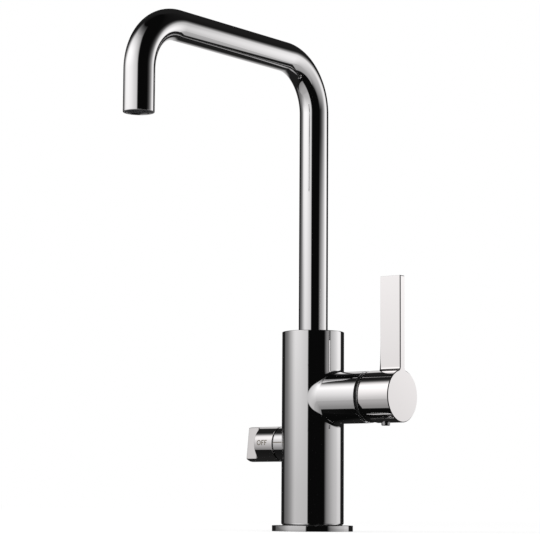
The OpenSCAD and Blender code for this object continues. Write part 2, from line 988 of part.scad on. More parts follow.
module valve_headwork() {
    drain_hole_r = 1;
    neck = valve_drive_start + spindle_flange_t + film_gap;
    color("goldenrod")
    on_valve()
    difference() {
        bar(headwork_r, valve_fixed_start, headwork_end);
        bar(headwork_bore_r, valve_fixed_start - cut, neck);
        bar(spindle_r + run_gap, neck - cut, headwork_end + cut);
        for (turn = [0, 90])
            rotate([0, 0, turn])
                translate([0, headwork_r + cut, valve_fixed_start + valve_disc_t / 2])
                    rotate([90, 0, 0])
                        cylinder(r = drain_hole_r, h = 2 * (headwork_r + cut));
    }
}

module valve_seal() {
    color("black")
    on_valve()
        ring(headwork_r, feed_r + 0.5, valve_seat, valve_fixed_start);
}

// Quarter-turn ceramic disc with two sector windows
module sector_disc(from, turn) {
    window_r = valve_disc_r - 1.4;
    window_top = 1.2;
    difference() {
        bar(valve_disc_r, from, from + valve_disc_t);
        rotate([0, 0, turn])
            translate([0, 0, from - cut])
                linear_extrude(valve_disc_t + 2 * cut)
                    for (side = [0, 180])
                        rotate([0, 0, side])
                            intersection() {
                                circle(r = window_r);
                                polygon([
                                    [window_top, 0],
                                    [valve_disc_r, 0.75 * valve_disc_r],
                                    [valve_disc_r, -0.75 * valve_disc_r]
                                ]);
                            }
    }
}

module valve_fixed_disc() {
    color("ivory")
    on_valve()
        sector_disc(valve_fixed_start, 0);
}

module valve_moving_disc() {
    color("ivory")
    on_valve()
        sector_disc(valve_moving_start, 90);
}

// Places of the spindle's two sealing rings and of its clip along the valve
spindle_seal_half = ring_section_r + 0.1;
spindle_seal_spots = [
    headwork_end - 3 * spindle_seal_half - 2,
    headwork_end - spindle_seal_half - 1
];
clip_start = headwork_end + 0.1;
clip_t = 0.8;
clip_groove_r = spindle_r - 0.7;
spindle_flat = 0.8;
spindle_flat_l = 10;

module valve_spindle() {
    key = [2, 1.6, 1.2];
    key_y = 4.2;
    color("lightgray")
    on_valve()
    difference() {
        union() {
            bar(valve_disc_r, valve_drive_start, valve_drive_start + spindle_flange_t);
            bar(spindle_r, valve_drive_start, spindle_end);
            for (side = [-1, 1])
                translate([0, side * key_y, valve_drive_start])
                    cube([key[0], key[1], 2 * key[2]], center = true);
        }
        for (spot = spindle_seal_spots)
            ring(
                spindle_r + cut, spindle_r - 2 * ring_section_r,
                spot - spindle_seal_half, spot + spindle_seal_half
            );
        ring(spindle_r + cut, clip_groove_r, clip_start, clip_start + clip_t);
        rotate([0, 0, index_angle])
            translate([spindle_r - spindle_flat, -spindle_r, spindle_end - spindle_flat_l])
                cube([spindle_r, 2 * spindle_r, spindle_flat_l + cut]);
    }
}

module spindle_seals() {
    color("black")
    on_valve()
        for (spot = spindle_seal_spots)
            translate([0, 0, spot])
                seal_ring(spindle_r, ring_section_r);
}

module spindle_clip() {
    mouth = 3;
    outer = spindle_r + 2.4;
    color("lightgray")
    on_valve()
    difference() {
        ring(outer, clip_groove_r, clip_start, clip_start + clip_t);
        translate([0, -mouth / 2, clip_start - cut])
            cube([outer + cut, mouth, clip_t + 2 * cut]);
    }
}

module knob_bush() {
    color("white")
    on_valve()
    difference() {
        bar(bush_r, clip_start + clip_t + free_gap, bush_end);
        difference() {
            bar(spindle_r + film_gap, clip_start, spindle_end + 0.1);
            rotate([0, 0, index_angle])
                translate([
                    spindle_r - spindle_flat + film_gap, -bush_r, spindle_end - spindle_flat_l
                ])
                    cube([spindle_r, 2 * bush_r, spindle_flat_l + cut]);
        }
    }
}

// Cut that leaves one flat of the knob's grip, with a curved shoulder
module grip_cut() {
    corner = [grip_start, grip_t / 2];
    centre = corner + [grip_fillet, grip_fillet];
    translate([-valve_r - cut, 0, 0])
        rotate([90, 0, 90])
            linear_extrude(2 * (valve_r + cut))
                mirror([1, -1])
                    difference() {
                        translate(corner)
                            square([knob_end - grip_start + cut, valve_r]);
                        difference() {
                            translate(corner)
                                square(grip_fillet);
                            translate(centre)
                                circle(r = grip_fillet);
                        }
                    }
}

module valve_knob() {
    edge = 0.4;
    boss_r = bush_r + 1.8;
    boss_start = knob_start + 3;
    hollow_end = grip_start - 4;
    color("silver")
    on_valve()
    rotate([0, 0, index_angle])
    difference() {
        turned([
            [0, knob_start],
            [valve_r - edge, knob_start],
            [valve_r, knob_start + edge],
            [valve_r, knob_end - edge],
            [valve_r - edge, knob_end],
            [0, knob_end]
        ]);
        grip_cut();
        mirror([0, 1])
            grip_cut();
        difference() {
            bar(valve_r - knob_wall, knob_start - cut, hollow_end);
            bar(boss_r, boss_start, hollow_end + cut);
        }
        bar(bush_r + film_gap, knob_start - cut, bush_end);
    }
}

base_flange();
deck_gasket();
column_body();
cartridge_seals();
cartridge_base();
fixed_disc();
cartridge_housing();
clamp_nut();
spacer_ring();
dome_ring();
turning_guide();
pivot_pin();
moving_disc();
disc_carrier();
lever_stem();
lever_handle();
lever_screw();
thrust_washer();
upper_glide_ring();
stop_screw();
spout_tube();
spout_tail();
lower_glide_ring();
spout_seals();
aerator_seal();
aerator_housing();
aerator_strainer();
aerator_honeycomb();
valve_collar();
valve_headwork();
valve_seal();
valve_fixed_disc();
valve_moving_disc();
valve_spindle();
spindle_seals();
spindle_clip();
valve_knob();
knob_bush();
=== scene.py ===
import json
import math

import bmesh
import bpy
from mathutils import Matrix, Vector


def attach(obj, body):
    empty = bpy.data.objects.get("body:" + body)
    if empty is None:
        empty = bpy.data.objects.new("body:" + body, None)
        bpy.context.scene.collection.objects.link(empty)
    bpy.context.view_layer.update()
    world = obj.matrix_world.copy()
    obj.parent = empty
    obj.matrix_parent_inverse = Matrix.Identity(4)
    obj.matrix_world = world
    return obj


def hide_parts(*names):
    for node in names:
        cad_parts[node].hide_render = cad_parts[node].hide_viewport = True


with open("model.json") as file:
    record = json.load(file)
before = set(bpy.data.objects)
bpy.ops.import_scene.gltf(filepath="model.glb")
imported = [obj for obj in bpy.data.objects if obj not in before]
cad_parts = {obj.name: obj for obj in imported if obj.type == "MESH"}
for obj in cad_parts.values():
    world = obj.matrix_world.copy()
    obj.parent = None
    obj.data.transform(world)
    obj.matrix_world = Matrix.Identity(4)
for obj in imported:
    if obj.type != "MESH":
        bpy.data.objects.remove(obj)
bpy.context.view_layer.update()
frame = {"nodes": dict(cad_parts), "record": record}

MM = 0.001

# Camera: place and aim round the column, in degrees and metres, then the lens in image pixels
CAMERA_AZIMUTH = 36.756
CAMERA_DISTANCE = 1.66547
CAMERA_HEIGHT = 0.020675
CAMERA_PAN = 1.235
CAMERA_PITCH = 6.636
CAMERA_ROLL = 0.367
FOCAL_PIXELS = 2026.73
IMAGE_PIXELS = 540
SENSOR = 36.0

# Studio: a round tent that only the metal sees, dark but for its boxes of light, its ceiling and
# two sheets on the ground. Angles go round the tent in degrees, rightwards from the camera's side,
# and heights are in metres. A run of pairs gives the brightness by the angle, height or distance.
TENT_RADIUS = 0.62
TENT_HEIGHT = 1.0
TENT_SIDES = 96
# The ground lies just over the floor, with a hole that the flange covers
TENT_GROUND = 0.0001
TENT_HOLE = 0.034
TENT_STRENGTH = 1.2
# The tent's own faint brightness by the angle, which the lights add to
TENT_DARK = [
    (-180, 0.013), (-128, 0.013), (-60, 0.0028), (60, 0.0028), (128, 0.013), (180, 0.013),
]
# A box has its brightness by the angle at its foot and at its head, then the share of the head's
# and the strength by the height. One without a head is alike all the way up.
LEFT_BOX = {
    "foot": [
        (-128, 0), (-124, 0.2), (-115, 0.25), (-105, 0.31), (-95, 0.43), (-85, 0.6), (-75, 0.86),
        (-67, 1), (-55, 0.98), (-45, 0.97), (-25, 0.93), (-19, 0.93), (-17.5, 0),
    ],
    "head": [
        (-128, 0), (-115, 0.05), (-105, 0.15), (-95, 0.5), (-85, 0.8), (-75, 1), (-65, 1),
        (-55, 0.94), (-45, 0.84), (-35, 0.66), (-25, 0.5), (-20, 0.35), (-15, 0),
    ],
    "lift": [(0, 0), (0.05, 0), (0.6, 1)],
    "rise": [
        (0, 0.45), (0.04, 0.466), (0.12, 0.55), (0.2, 0.64), (0.28, 0.72), (0.36, 0.79),
        (0.44, 0.86), (0.52, 0.93), (0.6, 0.95), (0.68, 0.88), (0.84, 0.68), (1, 0.45),
    ],
}
# A brighter field on the left box
FIELD = {
    "foot": [(-100, 0), (-92, 1), (-82, 1), (-75, 0)],
    "rise": [(0.27, 0), (0.36, 0.13), (0.5, 0.13), (0.6, 0)],
}
# Light behind the part, which only edges seen at a grazing angle show
BACK = {
    "foot": [(-180, 1), (-166, 1), (-158, 0), (166, 0), (173, 1), (180, 1)],
    "rise": [
        (0, 0.03), (0.06, 0.035), (0.12, 0.15), (0.2, 0.27), (0.42, 0.5), (0.6, 0.5), (0.7, 0),
    ],
}
# Above LEAN_HEIGHT the left box's side past LEAN_ANGLE leans in, LEAN times the angle per metre
LEAN_ANGLE = -78
LEAN_HEIGHT = 0.55
LEAN = 1.8
RIGHT_BOX = {
    "foot": [
        (42, 0), (46, 0.12), (50, 0.27), (55, 0.37), (65, 0.53), (75, 0.67), (85, 0.77), (95, 0.83),
        (105, 1), (115, 1), (121.5, 1), (123, 0),
    ],
    "head": [
        (43, 0), (55, 0.03), (65, 0.1), (75, 0.22), (85, 0.38), (95, 0.74), (105, 0.97),
        (115, 1), (122, 0.8), (125, 0),
    ],
    "lift": [(0, 0), (0.06, 0), (0.2, 0.22), (0.28, 0.4), (0.36, 0.65), (0.44, 1)],
    "rise": [
        (0, 0.54), (0.06, 0.575), (0.12, 0.65), (0.2, 0.75), (0.28, 0.83), (0.36, 0.87),
        (0.44, 0.83), (0.52, 0.73), (0.6, 0.28), (0.68, 0.05), (0.74, 0),
    ],
}
# The two white sheets on the ground. Each has a straight edge, as the shares of the way right
# and to the front and a start, its reach round the tent and its light by the way past the edge.
SHEET_SPAN = (-0.1, 0.7)
SHEETS = (
    {
        "edge": (-0.502, 0.865, -0.0865),
        "reach": [(-128, 0), (-124, 1), (-19, 1), (-17.5, 0)],
        "light": [
            (-0.002, 0), (0.004, 0.2), (0.035, 0.215), (0.07, 0.26), (0.14, 0.31), (0.27, 0.33),
            (0.34, 0.4), (0.5, 0.42),
        ],
    },
    {
        "edge": (0.919, -0.395, -0.2095),
        "reach": [(42, 0), (45, 1), (118.5, 1), (120, 0)],
        "light": [(-0.01, 0), (0.015, 0.24), (0.1, 0.3), (0.3, 0.36), (0.6, 0.37)],
    },
)
# The ceiling's light by the distance from the column
TENT_ROOF = [(0, 0), (0.35, 0), (0.45, 0.12), (0.55, 0.3), (0.62, 0.5)]
# Colour of all the tent's light, and the ground's thin gloss
TINT = (1.012, 0.994, 0.994)
GLOSS_ROUGHNESS = 0.03
GLOSS_IOR = 1.03
# The floor's share of the light on it, and its own light by the distance from the column
FLOOR_HALF = 6.0
FLOOR_COLOUR = 0.36
FLOOR_GLOW = [(0, 0.656), (0.4, 0.662), (1.0, 0.692), (1.6, 0.727), (2.5, 0.755), (6, 0.765)]
# The world's light on the part, where nothing sees it as a background
WORLD_COLOUR = 0.93
WORLD_LIGHT = 0.75
# Lamps, with their place in metres and power in watts. Each is a square that looks at LAMP_AIM.
LAMPS = {"key": ((-0.8, -1.2, 1.2), 12), "fill": ((1.4, -0.2, 0.9), 8)}
LAMP_SIZE = 1.0
LAMP_AIM = (0, -0.1, 0.2)


def link(tree, source, target):
    tree.links.new(source, target)


def node(tree, kind, **values):
    """A shader node with its attributes set."""
    made = tree.nodes.new(kind)
    for name, value in values.items():
        setattr(made, name, value)
    return made


def maths(tree, operation, *values):
    """A maths node. Each of its values is a socket or a number."""
    made = node(tree, "ShaderNodeMath", operation=operation)
    for socket, value in zip(made.inputs, values):
        if isinstance(value, (int, float)):
            socket.default_value = value
        else:
            link(tree, value, socket)
    return made.outputs[0]


def ramp(tree, source, stops, low, high):
    """A brightness ramp over source, with stops as (value, brightness) between low and high."""
    share = maths(tree, "DIVIDE", maths(tree, "SUBTRACT", source, low), high - low)
    made = node(tree, "ShaderNodeValToRGB")
    elements = made.color_ramp.elements
    while len(elements) < len(stops):
        elements.new(0.5)
    for element, (value, level) in zip(elements, stops):
        element.position = (value - low) / (high - low)
        element.color = (level, level, level, 1)
    link(tree, share, made.inputs[0])
    return made.outputs[0]


def make_camera():
    azimuth = math.radians(CAMERA_AZIMUTH)
    look = math.radians(CAMERA_AZIMUTH + CAMERA_PAN)
    pitch = math.radians(CAMERA_PITCH)
    roll = math.radians(CAMERA_ROLL)
    place = Vector((
        CAMERA_DISTANCE * math.sin(azimuth), -CAMERA_DISTANCE * math.cos(azimuth), CAMERA_HEIGHT
    ))
    ahead = Vector((
        -math.sin(look) * math.cos(pitch), math.cos(look) * math.cos(pitch), math.sin(pitch)
    ))
    level = ahead.cross(Vector((0, 0, 1))).normalized()
    upright = level.cross(ahead)
    right = level * math.cos(roll) + upright * math.sin(roll)
    up = upright * math.cos(roll) - level * math.sin(roll)
    data = bpy.data.cameras.new("camera")
    data.sensor_width = SENSOR
    data.lens = FOCAL_PIXELS * SENSOR / IMAGE_PIXELS
    data.clip_start = 0.05
    data.clip_end = 30
    camera = bpy.data.objects.new("camera", data)
    turn = Matrix((right, up, -ahead)).transposed().to_4x4()
    camera.matrix_world = Matrix.Translation(place) @ turn
    bpy.context.scene.collection.objects.link(camera)
    bpy.context.scene.camera = camera


def mesh_object(name, verts, faces):
    data = bpy.data.meshes.new(name)
    data.from_pydata(verts, [], faces)
    data.update()
    made = bpy.data.objects.new(name, data)
    bpy.context.scene.collection.objects.link(made)
    return made


def new_tree(name):
    """A new material and its node tree, which is empty."""
    material = bpy.data.materials.new(name)
    material.use_nodes = True
    material.node_tree.nodes.clear()
    return material, material.node_tree


def object_axes(tree):
    """The x, y and z sockets of the place on the object."""
    split = node(tree, "ShaderNodeSeparateXYZ")
    link(tree, node(tree, "ShaderNodeTexCoord").outputs["Object"], split.inputs[0])
    return split.outputs


def card_material(name, brightness, gloss):
    """A card of light. brightness(tree, axes) gives the socket of its brightness."""
    material, tree = new_tree(name)
    axes = object_axes(tree)
    dark = ramp(tree, tent_angle(tree, axes), TENT_DARK, -180, 180)
    light = maths(tree, "MULTIPLY", brightness(tree, axes), TENT_STRENGTH)
    card = node(tree, "ShaderNodeBsdfPrincipled")
    card.inputs["Base Color"].default_value = (0, 0, 0, 1)
    card.inputs["Roughness"].default_value = 1.0
    card.inputs["Specular IOR Level"].default_value = 0.0
    card.inputs["Coat Weight"].default_value = 1.0 if gloss else 0.0
    card.inputs["Coat Roughness"].default_value = GLOSS_ROUGHNESS
    card.inputs["Coat IOR"].default_value = GLOSS_IOR
    card.inputs["Emission Color"].default_value = (*TINT, 1)
    link(tree, maths(tree, "ADD", light, dark), card.inputs["Emission Strength"])
    link(tree, card.outputs[0], node(tree, "ShaderNodeOutputMaterial").inputs["Surface"])
    return material


def tent_angle(tree, axes):
    """The angle round the tent in degrees. The tent's -Y side faces the camera."""
    angle = maths(tree, "ARCTAN2", axes[0], maths(tree, "MULTIPLY", axes[1], -1.0))
    return maths(tree, "MULTIPLY", angle, 180 / math.pi)


def axis_distance(tree, axes):
    """The distance from the column's axis."""
    squares = [maths(tree, "MULTIPLY", axis, axis) for axis in axes[:2]]
    return maths(tree, "POWER", maths(tree, "ADD", *squares), 0.5)


def leaning(tree, angle, height):
    """The angle on the left box, drawn in on its left side above LEAN_HEIGHT."""
    past = maths(tree, "MINIMUM", maths(tree, "SUBTRACT", angle, LEAN_ANGLE), 0.0)
    above = maths(tree, "MAXIMUM", maths(tree, "SUBTRACT", height, LEAN_HEIGHT), 0.0)
    drawn = maths(tree, "MULTIPLY", past, maths(tree, "MULTIPLY", above, LEAN))
    return maths(tree, "ADD", angle, drawn)


def box_light(tree, angle, height, box):
    """Brightness of a box of light on the tent's wall."""
    light = ramp(tree, angle, box["foot"], -180, 180)
    if "head" in box:
        head = ramp(tree, angle, box["head"], -180, 180)
        lift = ramp(tree, height, box["lift"], 0, TENT_HEIGHT)
        rest = maths(tree, "MULTIPLY", maths(tree, "SUBTRACT", head, light), lift)
        light = maths(tree, "ADD", light, rest)
    return maths(tree, "MULTIPLY", light, ramp(tree, height, box["rise"], 0, TENT_HEIGHT))


def tent_wall_light(tree, axes):
    angle = tent_angle(tree, axes)
    light = box_light(tree, leaning(tree, angle, axes[2]), axes[2], LEFT_BOX)
    for box in (RIGHT_BOX, FIELD, BACK):
        light = maths(tree, "ADD", light, box_light(tree, angle, axes[2], box))
    return light


def tent_ground_light(tree, axes):
    angle = tent_angle(tree, axes)
    lights = []
    for sheet in SHEETS:
        right, front, begin = sheet["edge"]
        across = maths(tree, "MULTIPLY", axes[0], right)
        along = maths(tree, "MULTIPLY", axes[1], -front)
        past = maths(tree, "ADD", maths(tree, "ADD", across, along), begin)
        reach = ramp(tree, angle, sheet["reach"], -180, 180)
        light = ramp(tree, past, sheet["light"], *SHEET_SPAN)
        lights.append(maths(tree, "MULTIPLY", reach, light))
    return maths(tree, "ADD", *lights)


def tent_roof_light(tree, axes):
    angle = leaning(tree, tent_angle(tree, axes), axes[2])
    head = ramp(tree, angle, LEFT_BOX["head"], -180, 180)
    rim = ramp(tree, axis_distance(tree, axes), TENT_ROOF, 0, TENT_RADIUS)
    return maths(tree, "MULTIPLY", head, rim)


def make_tent():
    """The tent's wall, ceiling and ground, which only reflections see."""
    angles = [2 * math.pi * step / TENT_SIDES for step in range(TENT_SIDES)]

    def ring(radius, height):
        return [(radius * math.cos(a), radius * math.sin(a), height) for a in angles]

    band = []
    for here in range(TENT_SIDES):
        after = (here + 1) % TENT_SIDES
        band.append((here, after, after + TENT_SIDES, here + TENT_SIDES))
    low = ring(TENT_RADIUS, TENT_GROUND)
    high = ring(TENT_RADIUS, TENT_HEIGHT)
    wall = mesh_object("tent_wall", low + high, band)
    roof = mesh_object("tent_roof", high, [tuple(range(TENT_SIDES))])
    ground = mesh_object("tent_ground", ring(TENT_HOLE, TENT_GROUND) + low, band)
    cards = ((wall, tent_wall_light), (roof, tent_roof_light), (ground, tent_ground_light))
    for card, light in cards:
        card.matrix_world = Matrix.Rotation(math.radians(CAMERA_AZIMUTH), 4, "Z")
        card.data.materials.append(card_material(card.name, light, card is ground))
        card.visible_camera = False
        card.visible_diffuse = False
        card.visible_transmission = False
        card.visible_volume_scatter = False
        card.visible_shadow = False


def make_world():
    """White as a background and in metal or glass past the cards, and plain light elsewhere."""
    world = bpy.data.worlds.new("studio")
    bpy.context.scene.world = world
    world.use_nodes = True
    tree = world.node_tree
    tree.nodes.clear()
    rays = node(tree, "ShaderNodeLightPath").outputs
    seen = maths(tree, "MAXIMUM", rays["Is Camera Ray"], rays["Is Glossy Ray"])
    seen = maths(tree, "MAXIMUM", seen, rays["Is Transmission Ray"])
    mix = node(tree, "ShaderNodeMixShader")
    link(tree, seen, mix.inputs[0])
    for place, (colour, strength) in enumerate(((WORLD_COLOUR, WORLD_LIGHT), (1, 1)), 1):
        light = node(tree, "ShaderNodeBackground")
        light.inputs["Color"].default_value = (colour, colour, colour, 1)
        light.inputs["Strength"].default_value = strength
        link(tree, light.outputs[0], mix.inputs[place])
    link(tree, mix.outputs[0], node(tree, "ShaderNodeOutputWorld").inputs["Surface"])


def make_floor():
    """A white floor that keeps the tap's soft shadow. Its own light evens out the lamps'."""
    half = FLOOR_HALF
    corners = [(-half, -half, 0), (half, -half, 0), (half, half, 0), (-half, half, 0)]
    floor = mesh_object("floor", corners, [(0, 1, 2, 3)])
    material, tree = new_tree("floor")
    diffuse = node(tree, "ShaderNodeBsdfDiffuse")
    diffuse.inputs["Color"].default_value = (FLOOR_COLOUR, FLOOR_COLOUR, FLOOR_COLOUR, 1)
    glow = node(tree, "ShaderNodeEmission")
    light = ramp(tree, axis_distance(tree, object_axes(tree)), FLOOR_GLOW, 0, FLOOR_HALF)
    link(tree, light, glow.inputs["Strength"])
    both = node(tree, "ShaderNodeAddShader")
    link(tree, diffuse.outputs[0], both.inputs[0])
    link(tree, glow.outputs[0], both.inputs[1])
    link(tree, both.outputs[0], node(tree, "ShaderNodeOutputMaterial").inputs["Surface"])
    floor.data.materials.append(material)


def make_lamp(name, place, power):
    data = bpy.data.lights.new(name, "AREA")
    data.size = LAMP_SIZE
    data.energy = power
    lamp = bpy.data.objects.new(name, data)
    lamp.location = place
    lamp.rotation_mode = "QUATERNION"
    lamp.rotation_quaternion = (Vector(place) - Vector(LAMP_AIM)).to_track_quat("Z", "Y")
    lamp.visible_glossy = False
    lamp.visible_camera = False
    bpy.context.scene.collection.objects.link(lamp)


def surface(name, colour, metallic, roughness, spread, grain, bump, coat=0.0):
    """A finish whose roughness and relief vary with noise of one grain, in marks per metre."""
    material = bpy.data.materials.new(name)
    material.use_nodes = True
    tree = material.node_tree
    shader = tree.nodes["Principled BSDF"]
    shader.inputs["Base Color"].default_value = (*colour, 1)
    shader.inputs["Metallic"].default_value = metallic
    shader.inputs["Coat Weight"].default_value = coat
    noise = node(tree, "ShaderNodeTexNoise")
    noise.inputs["Scale"].default_value = grain
    noise.inputs["Detail"].default_value = NOISE_DETAIL
    link(tree, node(tree, "ShaderNodeTexCoord").outputs["Object"], noise.inputs["Vector"])
    rough = node(tree, "ShaderNodeMapRange")
    rough.inputs["To Min"].default_value = roughness - spread
    rough.inputs["To Max"].default_value = roughness + spread
    link(tree, noise.outputs["Fac"], rough.inputs["Value"])
    link(tree, rough.outputs["Result"], shader.inputs["Roughness"])
    if bump:
        relief = node(tree, "ShaderNodeBump")
        relief.inputs["Strength"].default_value = bump
        relief.inputs["Distance"].default_value = RELIEF_DEPTH
        link(tree, noise.outputs["Fac"], relief.inputs["Height"])
        link(tree, relief.outputs["Normal"], shader.inputs["Normal"])
    return material


NOISE_DETAIL = 4.0
RELIEF_DEPTH = 0.0001
# Colour, metallic, roughness and its spread, grain, relief and, where there is one, the coat
FINISH_VALUES = {
    "chrome": ((0.92, 0.92, 0.925), 1.0, 0.022, 0.014, 60, 0.0),
    # The lever and the knob get a brighter, warmer copy of the chrome: painted light that lifts
    # their reflections above the rest
    "bright_chrome": ((1.0, 0.982, 0.98), 1.0, 0.022, 0.014, 60, 0.0),
    "brass": ((0.78, 0.58, 0.28), 1.0, 0.3, 0.08, 900, 0.15),
    "steel": ((0.62, 0.63, 0.64), 1.0, 0.25, 0.08, 1200, 0.1),
    "dark_steel": ((0.12, 0.12, 0.125), 1.0, 0.28, 0.1, 1500, 0.15),
    "white_plastic": ((0.8, 0.8, 0.78), 0.0, 0.45, 0.08, 1500, 0.1),
    "grey_plastic": ((0.035, 0.036, 0.04), 0.0, 0.42, 0.08, 1500, 0.1),
    "black_plastic": ((0.012, 0.012, 0.012), 0.0, 0.4, 0.1, 1500, 0.15),
    "rubber": ((0.01, 0.01, 0.01), 0.0, 0.7, 0.1, 1800, 0.25),
    "ceramic": ((0.82, 0.8, 0.74), 0.0, 0.15, 0.04, 900, 0.05, 0.3),
    # The clamp screw's end is polished by its socket
    "polished_screw": ((0.5, 0.5, 0.51), 1.0, 0.16, 0.05, 1200, 0.1),
    # The lettering is etched into the chrome
    "etched": ((0.17, 0.15, 0.115), 0.3, 0.5, 0.1, 1500, 0.1),
}
FINISHES = {name: surface(name, *values) for name, values in FINISH_VALUES.items()}


def finish_nodes():
    """Gives each node of the frame the finish of its material slot."""
    slots = {entry["node"]: entry["material_slot"] for entry in frame["record"]["subparts"]}
    slots["lever_screw"] = "polished_screw"
    for name, piece in frame["nodes"].items():
        piece.data.materials.clear()
        piece.data.materials.append(FINISHES[slots[name]])


# Sizes of the model, in millimetres as in its source. R is a radius, T a thickness and W a width.
# Z, TOP and FOOT are heights above the deck. START, REAR and END are distances from the column's
# axis, along the barrel or the valve.
COLUMN_R = 25.5
COLUMN_TOP = 163.0
FLANGE_R = 33.0
FLANGE_T = 5.0
# The flange's neck in the column's foot, and the groove below it as inner and outer radius, depth
NECK_R = 21.9
NECK_TOP = 17.0
GASKET_GROOVE = (26.0, 30.0, 1.5)
# Round holes in the foot as radius and place (x, y)
HOSE_PASS = (12.0, (0, -4.5))
STUD_HOLE = (3.4, (0, 12.5))
# Shadow gap between the flange and the column, which also sizes the rubber ring of painted shade in
# it
SEAM_R = 24.0
SEAM_Z = 5.6
# Column's inside: the spout's seat, the foot's hollow, the water's ways and the stop screw's hole
SEAT_R = 14.5
SEAT_Z = 128.0
FOOT_HOLLOW_R = 22.0
FOOT_HOLLOW_TOP = 50.0
INLET_R = 4.5
INLET_TOP = 60.0
INLETS = ((5.802, -7.85), (-5.802, -7.85), (0, 2.2))
STOP_R = 2.55
STOP_Z = 153.0
BARREL_Z = 108.0
BARREL_R = 21.0
BARREL_END = 55.7
BARREL_EDGE = 0.35
# Radius of the blend between barrel and column, above and below and at the sides
BLEND_TOP = 2.4
BLEND_LOW = 3.4
BLEND_SIDE = 15.0
# The cartridge's hole as (radius, height along the barrel)
CARTRIDGE_SEAT = [(0, 11), (17.55, 11), (17.55, 47), (19.05, 47), (19.05, 57), (0, 57)]
GROOVE_END = 58.5
PIVOT_X = 42.0
DOME_FOOT_R = 20.8
DOME_END = 62.5
# Radius of the dome's sphere, which has the pin's point as its centre
DOME_R = math.hypot(DOME_FOOT_R, GROOVE_END - PIVOT_X)
# The dome ring's bore, and the lip round its front
DOME_BORE_R = 17.0
DOME_LIP_R = 15.0
DOME_LIP_T = 1.0
# Land at the dome's foot, and the gap between the dome and the hub's hollow
DOME_LAND = 0.3
HOLLOW_GAP = 0.22
HOLLOW_END = 68.2
HUB_REAR = 60.2
HUB_END = 89.0
# Edges at the hub's back, the blade's back and the blade's top, and the chamfer round the face
HUB_EDGE = 0.25
BLADE_BACK_EDGE = 0.15
BLADE_TOP_EDGE = 0.2
FACE_EDGE = 0.6
# Cut below the hub's back edge, as (along, up from the barrel's axis)
SCOOP = (
    (55, -5.5), (60.2, -5.5), (62.4, -9.0), (63.685, -11.912), (64.724, -14.28), (65.4, -22),
    (55, -22),
)
BLADE_REAR = 69.7
BLADE_HALF = 3.25
# Up from the barrel's axis
BLADE_REACH = 96.5
BLADE_FILLET = 3.0
# Points at the blade's foot over which its back edge fades in
BLADE_FADE = 12
# Square hole for the stem, and the clamp screw's hole from below, its tip from the barrel's axis
STEM_HALF = 4.05
STEM_END = 82.5
SCREW_R = 3.55
SCREW_X = 72.6
SCREW_TIP = -3.9
VALVE_Z = 71.5
VALVE_R = 14.5
# The valve's hole in the column and the knob's inside, as (radius, height along the valve)
VALVE_SEAT = [(0, 4.3), (6, 4.3), (6, 11), (10.06, 11), (10.06, 27), (0, 27)]
BUSH_R = 6.25
KNOB_HOLLOW = [(8, 34.5), (8, 46), (12.5, 46), (12.5, 30.5), (BUSH_R, 30.5), (BUSH_R, 34.5)]
BUSH_END = 47.5
COLLAR_GAP = 0.05
COLLAR_BORE_R = 10.3
COLLAR_LIP_R = 7.2
COLLAR_LIP_T = 1.0
COLLAR_REAR = 18.0
COLLAR_END = 30.2
KNOB_START = 31.5
KNOB_END = 63.0
KNOB_EDGE = 0.4
GRIP_START = 50.0
GRIP_HALF = 6.5
GRIP_FILLET = 3.0
GRIP_CORNER = 0.45
# Points of the knob's outline on a flat, a corner and a round side, and those over which the
# shoulder's rounding fades in at each end of a flat
KNOB_COUNTS = (56, 6, 60)
KNOB_FADE = 5
KNOB_TURN = 7.0
# Etched marks on the valve's round face: how far they stand out of it and reach into it, then
# their places along the valve and heights from its axis
MARK_RISE = 0.02
MARK_ROOT = 0.05
MARK_W = 0.75
MARK_START = -47.0
MARK_LOW = -1.15
MARK_HIGH = 3.2
MARK_LAP = 0.02
ROUND_LETTER_W = 4.15
LETTER_W = 2.5
SHORT_STROKE = 0.85
LETTER_STARTS = (-42.3, -39.2)
INDEX_START = -29.85
INDEX_END = -21.4
INDEX_HEIGHT = 1.0
TUBE_R = 12.0
TUBE_BORE_R = 10.75
TUBE_FOOT = 131.05
TUBE_EDGE = 0.4
TUBE_LIP = 0.15
SPOUT_H = 387.0
SPOUT_REACH = 219.0
BEND_R = 42.0
TIP_Z = 312.5

# Faces that meet at more degrees than this show an edge, and points closer in metres are one
SHARP_ANGLE = 35
SAME_POINT = 1e-7

ALONG_COLUMN = Matrix.Identity(4)
ALONG_BARREL = Matrix.Translation((0, 0, BARREL_Z)) @ Matrix.Rotation(math.radians(90), 4, "Y")
ALONG_VALVE = Matrix.Translation((0, 0, VALVE_Z)) @ Matrix.Rotation(math.radians(-90), 4, "Y")


def rounded(outline, radii, steps=5):
    """The outline with its corners rounded. A radius of 0 keeps a corner."""
    made = []
    for index, (corner, radius) in enumerate(zip(outline, radii)):
        here = Vector(corner)
        if radius == 0:
            made.append(tuple(here))
            continue
        to_last = (Vector(outline[index - 1]) - here).normalized()
        to_next = (Vector(outline[(index + 1) % len(outline)]) - here).normalized()
        half = to_last.angle(to_next) / 2
        middle = (to_last + to_next).normalized() * (radius / math.sin(half)) + here
        first = (here + to_last * (radius / math.tan(half)) - middle).normalized()
        last = (here + to_next * (radius / math.tan(half)) - middle).normalized()
        for step in range(steps + 1):
            made.append(tuple(middle + first.slerp(last, step / steps) * radius))
    return made


def finished_mesh(piece):
    """Smooth shading with crisp edges, and normals that keep flat faces flat."""
    piece.data.polygons.foreach_set("use_smooth", [True] * len(piece.data.polygons))
    piece.data.set_sharp_from_angle(angle=math.radians(SHARP_ANGLE))
    piece.modifiers.new("weigh", "WEIGHTED_NORMAL").keep_sharp = True
    return piece


